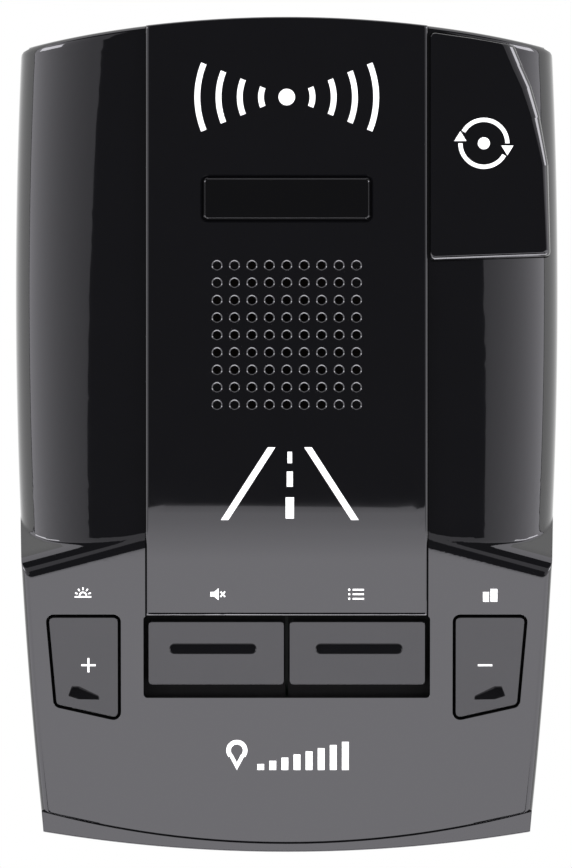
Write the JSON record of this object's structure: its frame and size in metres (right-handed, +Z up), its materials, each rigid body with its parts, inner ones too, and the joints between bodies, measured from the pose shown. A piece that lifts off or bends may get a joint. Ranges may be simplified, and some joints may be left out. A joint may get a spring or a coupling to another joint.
{
  "type": "radar detector",
  "caption": "Dashboard radar detector: gloss black case with laser pod, speaker grille, sprung keys, front display and horn antenna inside.",
  "frame": {"origin": "bottom centre of the bounding box, on the plane that the rubber feet stand on", "axes": "+Z up, +Y from the display face towards the windscreen edge, +X to the right as the driver reads the keys"},
  "size_m": [0.072, 0.1104, 0.031],
  "materials": {
    "gloss_black_abs": "piano-black gloss ABS",
    "satin_black_abs": "fine-textured black ABS",
    "key_black": "gloss black ABS keycaps",
    "smoked_lens": "smoked acrylic",
    "infrared_lens": "dark infrared-pass acrylic",
    "display_glass": "dark display glass",
    "circuit_board": "green solder mask on glass-fibre board",
    "flex_lead": "amber polyimide film",
    "white_pom": "white acetal",
    "dark_component": "black moulding compound",
    "cast_zinc": "bare die casting",
    "tinned_steel": "tinned sheet steel",
    "ceramic_patch": "unglazed ceramic with silver patch",
    "speaker_steel": "zinc-plated steel",
    "paper_cone": "treated black paper",
    "black_rubber": "matt black rubber",
    "aluminium_can": "drawn can",
    "clear_acrylic": "clear moulded acrylic",
    "led_body": "white reflector with yellow phosphor",
    "zinc_screw": "black zinc-plated steel",
    "label_film": "blank silver polyester film"
  },
  "bodies": {
    "root": {"top_cover": "gloss_black_abs", "centre_panel": "gloss_black_abs", "pod_cover": "gloss_black_abs", "display_bezel": "gloss_black_abs", "lower_housing": "satin_black_abs", "indicator_lens": "smoked_lens", "display_window": "smoked_lens", "pod_rear_lens": "infrared_lens", "pod_front_lens": "infrared_lens", "display_module": "display_glass", "display_board": "circuit_board", "key_board": "circuit_board", "main_board": "circuit_board", "gps_board": "circuit_board", "laser_board": "circuit_board", "display_ribbon": "flex_lead", "tact_switches": "dark_component", "processor_chips": "dark_component", "laser_sensors": "dark_component", "power_jack": "dark_component", "horn_antenna": "cast_zinc", "mixer_shield": "tinned_steel", "rf_shield": "tinned_steel", "usb_socket": "tinned_steel", "bracket_catch": "tinned_steel", "backup_battery": "tinned_steel", "gps_antenna": "ceramic_patch", "speaker_frame": "speaker_steel", "speaker_magnet": "speaker_steel", "speaker_cone": "paper_cone", "speaker_gasket": "black_rubber", "rubber_feet": "black_rubber", "capacitors": "aluminium_can", "light_guide": "clear_acrylic", "indicator_leds": "led_body", "housing_screws": "zinc_screw", "board_screws": "zinc_screw", "rating_label": "label_film"},
    "mute_key": {"mute_button": "key_black", "mute_plunger": "white_pom"},
    "prog_key": {"prog_button": "key_black", "prog_plunger": "white_pom"},
    "plus_key": {"plus_button": "key_black", "plus_plunger": "white_pom"},
    "minus_key": {"minus_button": "key_black", "minus_plunger": "white_pom"}
  },
  "joints": [
    {"name": "mute_press", "type": "slide", "parent": "root", "child": "mute_key", "axis": [0, 0.1219, -0.9925], "range_m": [0, 0.0005], "stiffness_N_per_m": 400, "springref_m": -0.001},
    {"name": "prog_press", "type": "slide", "parent": "root", "child": "prog_key", "axis": [0, 0.1219, -0.9925], "range_m": [0, 0.0005], "stiffness_N_per_m": 400, "springref_m": -0.001},
    {"name": "plus_press", "type": "slide", "parent": "root", "child": "plus_key", "axis": [0, 0.1219, -0.9925], "range_m": [0, 0.0005], "stiffness_N_per_m": 400, "springref_m": -0.001},
    {"name": "minus_press", "type": "slide", "parent": "root", "child": "minus_key", "axis": [0, 0.1219, -0.9925], "range_m": [0, 0.0005], "stiffness_N_per_m": 400, "springref_m": -0.001}
  ]
}
